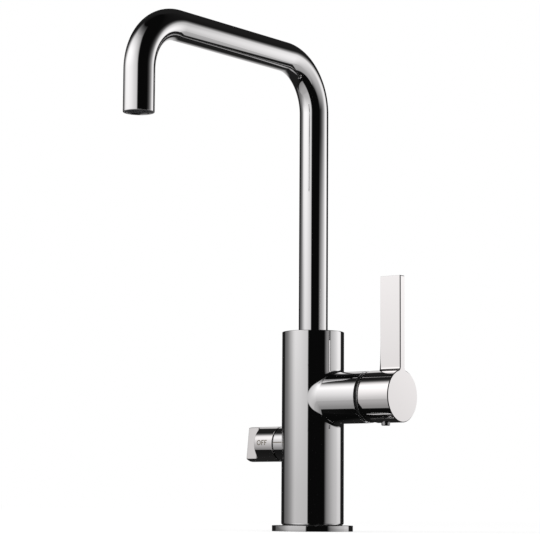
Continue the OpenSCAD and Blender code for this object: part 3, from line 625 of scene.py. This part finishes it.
def from_bmesh(name, mesh):
    """An object of a closed mesh, its faces all turned outwards."""
    bmesh.ops.remove_doubles(mesh, verts=mesh.verts, dist=SAME_POINT)
    loose = [edge for edge in mesh.edges if not edge.link_faces]
    bmesh.ops.delete(mesh, geom=loose, context="EDGES")
    bmesh.ops.recalc_face_normals(mesh, faces=mesh.faces)
    if mesh.calc_volume(signed=True) < 0:
        bmesh.ops.reverse_faces(mesh, faces=mesh.faces)
    data = bpy.data.meshes.new(name)
    mesh.to_mesh(data)
    mesh.free()
    made = bpy.data.objects.new(name, data)
    bpy.context.scene.collection.objects.link(made)
    return made


def bridge(mesh, low, high):
    """Faces between two closed rings of the mesh's points."""
    for step, (one, other) in enumerate(zip(low, high)):
        after = (step + 1) % len(low)
        mesh.faces.new((one, low[after], high[after], other))


def skin(name, rings, close_rings, place=ALONG_COLUMN):
    """A mesh through rings of points in millimetres. Open runs of rings get a cap at each end."""
    mesh = bmesh.new()
    rows = [[mesh.verts.new(place @ Vector(point) * MM) for point in ring] for ring in rings]
    for low, high in zip(rows, rows[1:]):
        bridge(mesh, low, high)
    if close_rings:
        bridge(mesh, rows[-1], rows[0])
    else:
        mesh.faces.new(rows[0])
        mesh.faces.new(rows[-1][::-1])
    return from_bmesh(name, mesh)


def circle(radius, height, turns, at=(0, 0)):
    """A ring of points round the z axis, or round a place beside it."""
    angles = [2 * math.pi * step / turns for step in range(turns)]
    return [(at[0] + radius * math.cos(a), at[1] + radius * math.sin(a), height) for a in angles]


def turned(name, outline, place, turns=256):
    """A solid of revolution of a closed outline of (radius, height) points."""
    return skin(name, [circle(radius, height, turns) for radius, height in outline], True, place)


def bar(name, radius, start, end, place, turns=256, at=(0, 0)):
    """A plain round bar, used as a cutter."""
    return skin(name, [circle(radius, height, turns, at) for height in (start, end)], False, place)


def cut(piece, cutter):
    """Takes the cutter's shape out of the piece and deletes the cutter."""
    step = piece.modifiers.new("cut", "BOOLEAN")
    step.operation = "DIFFERENCE"
    step.object = cutter
    step.solver = "EXACT"
    graph = bpy.context.evaluated_depsgraph_get()
    result = bpy.data.meshes.new_from_object(piece.evaluated_get(graph), depsgraph=graph)
    piece.modifiers.clear()
    old = piece.data
    result.name = old.name
    piece.data = result
    bpy.data.meshes.remove(old)
    spare = cutter.data
    bpy.data.objects.remove(cutter)
    bpy.data.meshes.remove(spare)


def make_base():
    inner, outer, depth = GASKET_GROOVE
    outline = rounded(
        [
            (0, 0), (inner, 0), (inner, depth), (outer, depth), (outer, 0), (FLANGE_R, 0),
            (FLANGE_R, FLANGE_T), (NECK_R, FLANGE_T), (NECK_R, NECK_TOP), (0, NECK_TOP),
        ],
        (0, 0, 0, 0, 0, 0.3, 0.35, 0, 0.5, 0),
    )
    flange = turned("flange", outline, ALONG_COLUMN)
    for name, (radius, at), turns in (("hose_pass", HOSE_PASS, 256), ("stud_hole", STUD_HOLE, 64)):
        cut(flange, bar(name, radius, -1, NECK_TOP + 1, ALONG_COLUMN, turns, at))
    return finished_mesh(flange)


def make_painted_shade_ring():
    """A black rubber ring in the gap between flange and column: a guessed gasket, mostly painted
    shade.
    """
    inner, outer = SEAM_R - 1, SEAM_R + 0.5
    ring = [(inner, FLANGE_T), (outer, FLANGE_T), (outer, SEAM_Z), (inner, SEAM_Z)]
    return finished_mesh(turned("painted_shade_ring", ring, ALONG_COLUMN))


def junction(angle):
    """Where barrel and column blend, at an angle round the barrel from its top, in degrees.

    Gives the blend's centre, its contacts on column and barrel, and its radius."""
    a = math.radians(angle)
    least = BLEND_TOP if math.cos(a) > 0 else BLEND_LOW
    radius = least + (BLEND_SIDE - least) * math.sin(a) ** 6
    across = (BARREL_R + radius) * math.sin(a)
    height = (BARREL_R + radius) * math.cos(a) + BARREL_Z
    out = math.sqrt((COLUMN_R + radius) ** 2 - across ** 2)
    scale = COLUMN_R / (COLUMN_R + radius)
    centre = Vector((out, across, height))
    on_column = Vector((out * scale, across * scale, height))
    on_barrel = Vector((out, BARREL_R * math.sin(a), BARREL_R * math.cos(a) + BARREL_Z))
    return centre, on_column, on_barrel, radius


def column_spot(turn, height):
    return (COLUMN_R * math.cos(turn), COLUMN_R * math.sin(turn), height)


def barrel_loops(border):
    """Rings of points from the edge of the column's open patch out to the barrel's end."""
    turns = len(border)
    joints = [junction(360 * k / turns) for k in range(turns)]
    loops = []
    for share in (0.2, 0.4, 0.6, 0.8, 1.0):
        loop = []
        for here, (_, contact, _, _) in zip(border, joints):
            turn, last_turn = (math.atan2(spot[1], spot[0]) for spot in (here, contact))
            height = here[2] + (contact[2] - here[2]) * share
            loop.append(column_spot(turn + (last_turn - turn) * share, height))
        loops.append(loop)
    for part in range(1, 13):
        loop = []
        for centre, on_wall, on_barrel, radius in joints:
            first = (on_wall - centre).normalized()
            last = (on_barrel - centre).normalized()
            loop.append(centre + first.slerp(last, part / 12) * radius)
        loops.append(loop)
    for part in range(1, 15):
        loops.append([
            (spot.x + (BARREL_END - BARREL_EDGE - spot.x) * part / 14, spot.y, spot.z)
            for _, _, spot, _ in joints
        ])
    for part in range(1, 6):
        a = math.radians(18 * part)
        radius = BARREL_R - BARREL_EDGE * (1 - math.cos(a))
        along = BARREL_END - BARREL_EDGE * (1 - math.sin(a))
        angles = [2 * math.pi * k / turns for k in range(turns)]
        loops.append([
            (along, radius * math.sin(a), radius * math.cos(a) + BARREL_Z) for a in angles
        ])
    return loops


def make_column():
    """Column and barrel as one skin, with a blend where they meet.

    The column is turned, but for a patch of rows and turns round the barrel that stays open."""
    turns = 288
    patch_turns = 52
    patch_rows = 40
    patch_half = 30.0
    outline = rounded(
        [
            (0, FLANGE_T), (SEAM_R, FLANGE_T), (SEAM_R, SEAM_Z), (COLUMN_R, SEAM_Z),
            (COLUMN_R, COLUMN_TOP), (SEAT_R, COLUMN_TOP), (SEAT_R, SEAT_Z), (0, SEAT_Z),
        ],
        (0, 0, 0, 1.3, 0.7, 0.3, 0, 0),
    )
    low_row = 1 + next(row for row, spot in enumerate(outline) if spot[0] > COLUMN_R - 1e-6)
    top_row = low_row + patch_rows
    outline[low_row:low_row] = [
        (COLUMN_R, BARREL_Z - patch_half + 2 * patch_half * row / patch_rows)
        for row in range(patch_rows + 1)
    ]
    mesh = bmesh.new()

    def add(ring):
        return [mesh.verts.new(Vector(spot) * MM) for spot in ring]

    rows = [add(circle(radius, height, turns)) for radius, height in outline]
    for row, low in enumerate(rows):
        high = rows[(row + 1) % len(rows)]
        for i in range(turns):
            beside = i < patch_turns or i >= turns - patch_turns
            if not (beside and low_row <= row < top_row):
                j = (i + 1) % turns
                mesh.faces.new((low[i], low[j], high[j], high[i]))
    border = [rows[top_row][i] for i in range(patch_turns)]
    border += [rows[top_row - k][patch_turns] for k in range(patch_rows)]
    border += [rows[low_row][i % turns] for i in range(patch_turns, -patch_turns, -1)]
    border += [rows[low_row + k][turns - patch_turns] for k in range(patch_rows)]
    border += [rows[top_row][i % turns] for i in range(-patch_turns, 0)]
    last = border
    for loop in barrel_loops([vert.co / MM for vert in border]):
        loop = add(loop)
        bridge(mesh, last, loop)
        last = loop
    mesh.faces.new(last)
    column = from_bmesh("column", mesh)
    cut(column, turned("cartridge_seat", CARTRIDGE_SEAT, ALONG_BARREL, 192))
    cut(column, bar("foot_hollow", FOOT_HOLLOW_R, FLANGE_T - 1, FOOT_HOLLOW_TOP, ALONG_COLUMN, 192))
    cut(column, turned("valve_bore", VALVE_SEAT, ALONG_VALVE, 128))
    for index, spot in enumerate(INLETS):
        name = f"inlet_{index}"
        cut(column, bar(name, INLET_R, FOOT_HOLLOW_TOP - 1, INLET_TOP, ALONG_COLUMN, 64, spot))
    towards_back = Matrix.Translation((0, 0, STOP_Z)) @ Matrix.Rotation(math.radians(-90), 4, "X")
    cut(column, bar("stop_hole", STOP_R, SEAT_R - 1, COLUMN_R + 1.5, towards_back, 64))
    return finished_mesh(column)


def dome_radius(height, gap=0.0):
    """Radius round the barrel of the dome's sphere, or of one that is wider by a gap."""
    return math.sqrt((DOME_R + gap) ** 2 - (height - PIVOT_X) ** 2)


def make_dome():
    start = GROOVE_END + DOME_LAND
    arc = [start + (DOME_END - start) * step / 12 for step in range(12)]
    lip = DOME_END - DOME_LIP_T
    outline = [(DOME_BORE_R, GROOVE_END), (DOME_FOOT_R, GROOVE_END), (DOME_FOOT_R, start)]
    outline += [(dome_radius(height), height) for height in arc]
    outline += [(dome_radius(DOME_END), DOME_END), (DOME_LIP_R, DOME_END)]
    outline += [(DOME_LIP_R, lip), (DOME_BORE_R, lip)]
    radii = [0, 0.15, 0.12] + [0] * len(arc) + [0.2, 0.1, 0, 0]
    return finished_mesh(turned("dome", rounded(outline, radii, 3), ALONG_BARREL))


def line_points(start, end, count):
    """count points on a line, from start to just before end."""
    return [tuple(a + (b - a) * k / count for a, b in zip(start, end)) for k in range(count)]


def arc_points(centre, radius, start, end, count):
    """count points on an arc in degrees, from start to just before end."""
    angles = [math.radians(start + (end - start) * step / count) for step in range(count)]
    return [(centre[0] + radius * math.cos(a), centre[1] + radius * math.sin(a)) for a in angles]


def inset(outline, depth):
    """The outline moved inwards. depth is a function of the point's index."""
    made = []
    count = len(outline)
    for index, point in enumerate(outline):
        along = Vector(outline[(index + 1) % count]) - Vector(outline[index - 1])
        normal = Vector((-along.y, along.x)).normalized()
        made.append(tuple(Vector(point) + normal * depth(index)))
    return made


def quarter(radius, step, steps=4):
    """Depth and way along at a step of a rounded edge, from (radius, 0) to (0, radius)."""
    a = math.radians(90 * step / steps)
    return radius * (1 - math.sin(a)), radius * (1 - math.cos(a))


def make_lever():
    """Hub and blade lofted along the barrel. Outlines are (y, z) points round the barrel's axis."""
    foot_y = BLADE_HALF + BLADE_FILLET
    foot_z = math.sqrt((BARREL_R + BLADE_FILLET) ** 2 - foot_y ** 2)
    lean = math.degrees(math.atan2(foot_y, foot_z))
    top = BLADE_REACH
    edge = BLADE_TOP_EDGE
    hub = arc_points((0, 0), BARREL_R, 90 + lean, 450 - lean, 224)
    blade = arc_points((foot_y, foot_z), BLADE_FILLET, 270 - lean, 180, 10)
    blade += line_points((BLADE_HALF, foot_z), (BLADE_HALF, top - edge), 40)
    blade += arc_points((BLADE_HALF - edge, top - edge), edge, 0, 90, 5)
    blade += line_points((BLADE_HALF - edge, top), (edge - BLADE_HALF, top), 6)
    blade += arc_points((edge - BLADE_HALF, top - edge), edge, 90, 180, 5)
    blade += line_points((-BLADE_HALF, top - edge), (-BLADE_HALF, foot_z), 40)
    blade += arc_points((-foot_y, foot_z), BLADE_FILLET, 0, -90 + lean, 10)
    plain = hub + arc_points((0, 0), BARREL_R, 90 - lean, 90 + lean, len(blade))
    full = hub + blade

    def ring(outline, height):
        return [(height, y, z + BARREL_Z) for y, z in outline]

    def blade_fade(index):
        """1 on the blade and 0 where it meets the hub."""
        from_foot = min(index - len(hub), len(full) - index)
        return max(0.0, min(1.0, from_foot / BLADE_FADE))

    def face_outline(depth):
        """The full outline moved in by depth, with the blade's top corners drawn to a point."""
        half = BLADE_HALF - depth
        return [
            (max(-half, min(half, y)), min(z, top - depth)) if z > top - 1 else (y, z)
            for y, z in inset(full, lambda index: depth)
        ]

    rings = []
    for depth, along in (quarter(HUB_EDGE, step) for step in range(5)):
        rings.append(ring(inset(plain, lambda index: depth), HUB_REAR + along))
    hub_run = BLADE_REAR - HUB_REAR
    rings += [ring(plain, HUB_REAR + hub_run * step / 8) for step in range(1, 9)]
    for depth, along in (quarter(BLADE_BACK_EDGE, step) for step in range(5)):
        outline = inset(full, lambda index: depth * blade_fade(index))
        rings.append(ring(outline, BLADE_REAR + along))
    start = BLADE_REAR + BLADE_BACK_EDGE
    blade_run = HUB_END - FACE_EDGE - 0.05 - start
    rings += [ring(full, start + blade_run * step / 12) for step in range(1, 13)]
    for depth, drop in ((0.02, FACE_EDGE), (FACE_EDGE, 0.02), (FACE_EDGE + 0.05, 0)):
        rings.append(ring(face_outline(depth), HUB_END - drop))
    lever = skin("lever", rings, False)

    start = HUB_REAR - 1
    stations = [start + (HOLLOW_END - start) * step / 24 for step in range(25)]
    hollow = [(dome_radius(height, HOLLOW_GAP), height) for height in stations]
    hollow = [(0, start)] + hollow + [(0, HOLLOW_END)]
    cut(lever, turned("hub_hollow", hollow, ALONG_BARREL, 160))
    square_up = ALONG_BARREL @ Matrix.Rotation(math.radians(45), 4, "Z")
    cut(lever, bar("stem_slot", STEM_HALF * math.sqrt(2), HOLLOW_END - 1, STEM_END, square_up, 4))
    upright = Matrix.Translation((SCREW_X, 0, BARREL_Z))
    cut(lever, bar("screw_hole", SCREW_R, -BARREL_R - 1, SCREW_TIP, upright, 64))
    sides = (-BARREL_R - 1, BARREL_R + 1)
    scoop = [[(x, y, z + BARREL_Z) for x, z in SCOOP] for y in sides]
    cut(lever, skin("scoop", scoop, False))
    return finished_mesh(lever)


def knob_outline(half):
    """A circle clipped at both sides, as (up, across) points. A half of None keeps the circle.

    Each side has its flat, a corner, its round and another corner, with the same counts of
    points in every outline, so that outlines can be joined."""
    flat_count, corner_count, round_count = KNOB_COUNTS
    made = []
    if half is None:
        # A corner's stretch of the circle is about twice as long as the corner's radius
        flat = math.degrees(math.acos((GRIP_HALF + GRIP_FILLET) / VALVE_R))
        turn = 120 * GRIP_CORNER / VALVE_R
        for side in (90, 270):
            stops = (side - flat, side + flat, side + flat + turn)
            stops += (side + 180 - flat - turn, side + 180 - flat)
            counts = (flat_count, corner_count, round_count, corner_count)
            for start, end, count in zip(stops, stops[1:], counts):
                made += arc_points((0, 0), VALVE_R, start, end, count)
        return made
    lift = half - GRIP_CORNER
    reach = math.sqrt((VALVE_R - GRIP_CORNER) ** 2 - lift ** 2)
    tip = math.degrees(math.atan2(lift, reach))
    for side, sign in ((90, 1), (270, -1)):
        up, middle = reach * sign, lift * sign
        first, last = side + 90 - tip, side + 90 + tip
        made += line_points((up, half * sign), (-up, half * sign), flat_count)
        made += arc_points((-up, middle), GRIP_CORNER, side, first, corner_count)
        made += arc_points((0, 0), VALVE_R, first, last, round_count)
        made += arc_points((-up, -middle), GRIP_CORNER, last, side + 180, corner_count)
    return made


def make_knob():
    """The knob, round at its foot and clipped to a flat grip, lofted along the valve."""
    edge = KNOB_EDGE
    round_outline = knob_outline(None)
    grip = knob_outline(GRIP_HALF)

    def shoulder_fade(index):
        """1 on the two flats and 0 on the round sides."""
        spot = index % (len(round_outline) // 2)
        return max(0.0, min(1.0, min(spot, KNOB_COUNTS[0] - spot) / KNOB_FADE))

    def ring(outline, height):
        return [(up, across, height) for up, across in outline]

    rings = []
    for depth, along in (quarter(edge, step) for step in range(5)):
        rings.append(ring(inset(round_outline, lambda index: depth), KNOB_START + along))
    start, run = KNOB_START + edge, GRIP_START - KNOB_START - 2 * edge
    rings += [ring(round_outline, start + run * step / 10) for step in range(1, 11)]
    for drop, depth in (quarter(edge, step, 5) for step in range(1, 6)):
        outline = inset(round_outline, lambda index: depth * shoulder_fade(index))
        rings.append(ring(outline, GRIP_START - drop))
    for wider, along in (quarter(GRIP_FILLET, step, 10) for step in range(11)):
        rings.append(ring(knob_outline(GRIP_HALF + wider), GRIP_START + along))
    start = GRIP_START + GRIP_FILLET
    run = KNOB_END - edge - start
    rings += [ring(grip, start + run * step / 6) for step in range(1, 7)]
    for drop, depth in (quarter(edge, step, 5) for step in range(1, 6)):
        rings.append(ring(inset(grip, lambda index: depth), KNOB_END - drop))
    place = ALONG_VALVE @ Matrix.Rotation(math.radians(KNOB_TURN), 4, "Z")
    knob = skin("knob", rings, False, place)
    cut(knob, turned("knob_hollow", KNOB_HOLLOW, ALONG_VALVE, 128))
    cut(knob, bar("bush_bore", BUSH_R, KNOB_START - 1.5, BUSH_END, ALONG_VALVE, 128))
    return finished_mesh(knob)


def make_collar():
    """The valve's collar, cut to the column's round."""
    lip = COLLAR_END - COLLAR_LIP_T
    outline = rounded(
        [
            (COLLAR_BORE_R, COLLAR_REAR), (VALVE_R, COLLAR_REAR), (VALVE_R, COLLAR_END),
            (COLLAR_LIP_R, COLLAR_END), (COLLAR_LIP_R, lip), (COLLAR_BORE_R, lip),
        ],
        (0, 0, 0.3, 0.1, 0, 0),
    )
    collar = turned("collar", outline, ALONG_VALVE)
    low, high = VALVE_Z - VALVE_R - 1, VALVE_Z + VALVE_R + 1
    cut(collar, bar("column_cut", COLUMN_R + COLLAR_GAP, low, high, ALONG_COLUMN))
    return finished_mesh(collar)


def spout_path():
    """Points of the spout's centreline, each with its direction."""
    bend_z = SPOUT_H - BEND_R
    level_run = SPOUT_REACH - 2 * BEND_R
    tip_run = bend_z - TIP_Z - TUBE_EDGE
    made = [
        ((0, 0, TUBE_FOOT + (bend_z - TUBE_FOOT) * step / 24), (0, 0, 1)) for step in range(24)
    ]
    for step in range(72):
        a = math.radians(90 * step / 72)
        made.append((
            (0, -BEND_R * (1 - math.cos(a)), bend_z + BEND_R * math.sin(a)),
            (0, -math.sin(a), math.cos(a)),
        ))
    made += [((0, -BEND_R - level_run * step / 16, SPOUT_H), (0, -1, 0)) for step in range(16)]
    for step in range(73):
        a = math.radians(90 * step / 72)
        made.append((
            (0, BEND_R - SPOUT_REACH - BEND_R * math.sin(a), bend_z + BEND_R * math.cos(a)),
            (0, -math.cos(a), -math.sin(a)),
        ))
    made += [
        ((0, -SPOUT_REACH, bend_z - tip_run * step / 6), (0, 0, -1)) for step in range(1, 7)
    ]
    return made


def tube_ring(centre, direction, radius):
    """A ring of points square to the direction, which lies in the spout's plane."""
    across = Vector((1, 0, 0))
    other = Vector(direction).cross(across)
    angles = [2 * math.pi * step / 160 for step in range(160)]
    return [Vector(centre) + (across * math.cos(a) + other * math.sin(a)) * radius for a in angles]


def make_spout():
    """The tube with its bore, from the foot's outside round the tip and back inside."""
    path = spout_path()
    down = (0, 0, -1)
    rings = [tube_ring(centre, direction, TUBE_R) for centre, direction in path]
    for drop, depth in (quarter(TUBE_EDGE, step, 5) for step in range(1, 6)):
        rings.append(tube_ring((0, -SPOUT_REACH, TIP_Z + drop), down, TUBE_R - depth))
    for wider, rise in (quarter(TUBE_LIP, step, 3) for step in range(4)):
        rings.append(tube_ring((0, -SPOUT_REACH, TIP_Z + rise), down, TUBE_BORE_R + wider))
    rings += [tube_ring(centre, direction, TUBE_BORE_R) for centre, direction in path[::-1]]
    return finished_mesh(skin("spout", rings, True))


def marks(name, strokes):
    """Thin marks on the valve's round face. A stroke is a run of point pairs (x, height) and
    whether it closes on itself."""
    def wrapped(spot, rise):
        a = spot[1] / VALVE_R
        radius = VALVE_R + rise
        return Vector((spot[0], -radius * math.cos(a), VALVE_Z + radius * math.sin(a))) * MM

    mesh = bmesh.new()
    for pairs, closes in strokes:
        rows = []
        for one, other in pairs:
            corners = ((one, MARK_RISE), (other, MARK_RISE), (other, -MARK_ROOT), (one, -MARK_ROOT))
            rows.append([mesh.verts.new(wrapped(spot, rise)) for spot, rise in corners])
        for low, high in zip(rows, rows[1:]):
            bridge(mesh, low, high)
        if closes:
            bridge(mesh, rows[-1], rows[0])
        else:
            mesh.faces.new(rows[0][::-1])
            mesh.faces.new(rows[-1])
    return finished_mesh(from_bmesh(name, mesh))


def upright_stroke(start, low, high):
    heights = [low + (high - low) * k / 8 for k in range(9)]
    return [((start, height), (start + MARK_W, height)) for height in heights], False


def level_stroke(start, end, low):
    places = [start + (end - start) * k / 4 for k in range(5)]
    return [((place, low), (place, low + MARK_W)) for place in places], False


def make_off_mark():
    """The word OFF on the knob's front, at rest upright to the camera."""
    low, high = MARK_LOW, MARK_HIGH
    middle = (low + high) / 2
    half_w, half_h = ROUND_LETTER_W / 2, (high - low) / 2
    ring = []
    for k in range(40):
        a = math.radians(9 * k)
        ring.append([
            (MARK_START + half_w + (half_w - w) * math.cos(a), middle + (half_h - w) * math.sin(a))
            for w in (MARK_W, 0)
        ])
    strokes = [(ring, True)]
    for start in LETTER_STARTS:
        inner = start + MARK_W - MARK_LAP
        strokes += [
            upright_stroke(start, low, high),
            level_stroke(inner, start + LETTER_W, high - MARK_W),
            level_stroke(inner, start + LETTER_W * SHORT_STROKE, middle - MARK_W / 2),
        ]
    return marks("off_mark", strokes)


def make_index_mark():
    """The line on the collar that the word on the knob is read against."""
    low = INDEX_HEIGHT - MARK_W / 2
    return marks("index_mark", [level_stroke(INDEX_START, INDEX_END, low)])


def place_pieces():
    """Puts the fine chrome pieces in the place of their nodes, and adds the marks and the
    painted-shade ring.
    """
    for make, source, body, finish in (
        (make_base, "base_flange", "mixer_body", "chrome"),
        (make_column, "column_body", "mixer_body", "chrome"),
        (make_dome, "dome_ring", "mixer_body", "chrome"),
        (make_collar, "valve_collar", "mixer_body", "chrome"),
        (make_spout, "spout_tube", "spout", "chrome"),
        # The lever and the knob take the chrome copy with painted light
        (make_lever, "lever_handle", "lever", "bright_chrome"),
        (make_knob, "valve_knob", "knob", "bright_chrome"),
    ):
        piece = make()
        piece.data.materials.append(FINISHES[finish])
        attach(piece, body)
        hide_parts(source)
    for make, body, finish, slot in (
        (make_off_mark, "knob", "etched", "dark_steel"),
        (make_index_mark, "mixer_body", "etched", "dark_steel"),
        # The rubber ring at the seam is painted shade in the gap
        (make_painted_shade_ring, "mixer_body", "rubber", "rubber"),
    ):
        piece = make()
        piece.data.materials.append(FINISHES[finish])
        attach(piece, body)


make_camera()
make_tent()
make_world()
make_floor()
for lamp_name, (lamp_place, lamp_power) in LAMPS.items():
    make_lamp(lamp_name, lamp_place, lamp_power)
finish_nodes()
place_pieces()

bpy.context.scene.view_settings.view_transform = "Standard"
